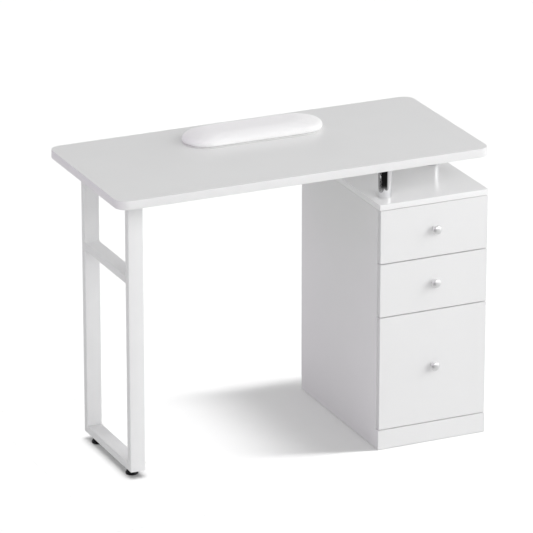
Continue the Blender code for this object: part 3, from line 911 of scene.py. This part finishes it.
# ---------------------------------------------------------------- knobs
def make_knob(number):
    """A turned mushroom knob with a softly flattened face."""
    low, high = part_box(f"drawer_{number}_knob")
    base = Vector(((low.x + high.x) / 2, high.y, (low.z + high.z) / 2))
    head = (high.x - low.x) / 2
    reach = high.y - low.y
    bore_end = 0.0095
    base_edge, base_round = 0.0059, 0.0004
    collar = (0.0063, 0.0015)
    waist, waist_start, waist_end = 0.0060, 0.0030, 0.0092
    throat = 0.0034
    lip_start, lip = 0.0133, 0.0145
    rim, rim_round = 0.0150, 0.0012
    dome = reach - rim
    face_power, dome_steps = 2.8, 24

    profile = [(0, bore_end), (SCREW_HOLE_RADIUS, bore_end), (SCREW_HOLE_RADIUS, 0),
               (base_edge, 0)]
    profile += arc((base_edge, base_round), base_round, -90, 0, 3)[1:]
    profile += [collar, (waist, waist_start), (waist, waist_end)]
    profile += arc((waist + throat, waist_end), throat, 180, 100, 6)[1:]
    profile += [(head - rim_round, lip_start)]
    profile += arc((head - rim_round, lip), rim_round, -80, 0, 4)
    for step in range(1, dome_steps):
        angle = QUARTER_TURN * step / dome_steps
        profile.append((head * math.cos(angle) ** (2 / face_power),
                        rim + dome * math.sin(angle) ** (2 / face_power)))
    profile += [(0, rim + dome)]
    mesh_data = bmesh.new()
    lathe(mesh_data, profile, base, FORWARD, sides=80)
    knob = new_piece(f"drawer_{number}_knob_turned", mesh_data, "satin_chrome",
                     f"drawer_{number}")
    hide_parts(f"drawer_{number}_knob")


# ---------------------------------------------------------------- wrist rest
def rest_form(shrink, lower):
    """The pad before it is filled: a low loaf, smaller than its box all round."""
    low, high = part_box("wrist_rest_pad")
    centre = (low + high) / 2
    length, depth = high.x - low.x - 2 * shrink, high.y - low.y - 2 * shrink
    side_height, flat_half_width = 0.009, 0.004
    lower_edge = ((0.0025, 0), (0.0008, 0.001), (0, 0.003), (0, side_height))
    crown_steps, outline_steps = 12, 24
    shoulder = low.z + side_height
    crown = high.z - lower - shoulder
    crown_reach = depth / 2 - flat_half_width
    levels = [(inset, low.z + height) for inset, height in lower_edge]
    for step in range(1, crown_steps):
        angle = QUARTER_TURN * step / crown_steps
        levels.append((crown_reach * (1 - math.cos(angle)), shoulder + crown * math.sin(angle)))
    mesh_data = bmesh.new()
    rings = []
    for inset, height in levels:
        rings.append([mesh_data.verts.new((centre.x + x, centre.y + y, height))
                      for x, y in stadium(length, depth, inset, outline_steps)])
    loft(mesh_data, rings)
    return mesh_data


def evaluated_mesh(holder):
    """A copy of an object's mesh with its modifiers applied."""
    depsgraph = bpy.context.evaluated_depsgraph_get()
    return bpy.data.meshes.new_from_object(holder.evaluated_get(depsgraph))


def fill_pad(mesh_data, underside, voxel, pressure, frames, most):
    """Swell a closed form by cloth simulation and return the result as mesh data.

    Points below `underside` stay put, and no point moves further than `most`.
    """
    scene = bpy.context.scene
    mesh = bpy.data.meshes.new("pad_form")
    bmesh.ops.recalc_face_normals(mesh_data, faces=mesh_data.faces)
    mesh_data.to_mesh(mesh)
    mesh_data.free()
    form = bpy.data.objects.new("pad_form", mesh)
    scene.collection.objects.link(form)
    even = form.modifiers.new("even", "REMESH")
    even.mode = "VOXEL"
    even.voxel_size = voxel
    start = evaluated_mesh(form)
    form.modifiers.clear()
    form.data = start
    held = form.vertex_groups.new(name="underside")
    held.add([point.index for point in start.vertices if point.co.z < underside], 1, "REPLACE")
    cloth = form.modifiers.new("fill", "CLOTH")
    cloth.settings.vertex_group_mass = held.name
    cloth.settings.use_pressure = True
    cloth.settings.uniform_pressure_force = pressure
    cloth.settings.effector_weights.gravity = 0
    for step in range(1, frames + 1):
        scene.frame_set(step)
    swollen = evaluated_mesh(form)
    for before, after in zip(start.vertices, swollen.vertices):
        move = after.co - before.co
        if move.length > most:
            after.co = before.co + move * (most / move.length)
    filled = bmesh.new()
    filled.from_mesh(swollen)
    bpy.data.objects.remove(form)
    scene.frame_set(1)
    return filled


def smooth_skin(mesh_data, underside, rounds):
    """Even out the remesher's steps, above the underside only."""
    loose = [point for point in mesh_data.verts if point.co.z > underside]
    for _ in range(rounds):
        bmesh.ops.smooth_vert(mesh_data, verts=loose, factor=0.5, use_axis_x=True,
                              use_axis_y=True, use_axis_z=True)


def make_wrist_rest():
    """Foam under a stretched leatherette cover, on its base board."""
    glued_height = 0.0015
    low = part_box("wrist_rest_pad")[0]
    underside = low.z + glued_height
    form = rest_form(shrink=0.0025, lower=0.0045)
    mesh_data = fill_pad(form, underside, voxel=0.004, pressure=4.0, frames=20, most=0.003)
    smooth_skin(mesh_data, underside, rounds=6)
    pad = new_piece("wrist_rest_cover", mesh_data, "leatherette", "wrist_rest",
                    smooth_angle=60)
    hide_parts("wrist_rest_pad")
    skin = pad.modifiers.new("skin", "SUBSURF")
    skin.levels = skin.render_levels = 1
    return [pad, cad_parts["wrist_rest_base"]]


make_camera()
dress_nodes()
tabletop_pieces = make_boards()
upper_leg, bottom_bar = make_leg_frame()
near_floor = [bottom_bar] + [make_foot(foot) for foot in FEET]
for post_name in POSTS:
    make_post(post_name)
for drawer in DRAWERS:
    make_knob(drawer)
high_pieces = tabletop_pieces + upper_leg + make_wrist_rest()
make_studio(high_pieces, near_floor, upper_leg + [bottom_bar], tabletop_pieces[:1])
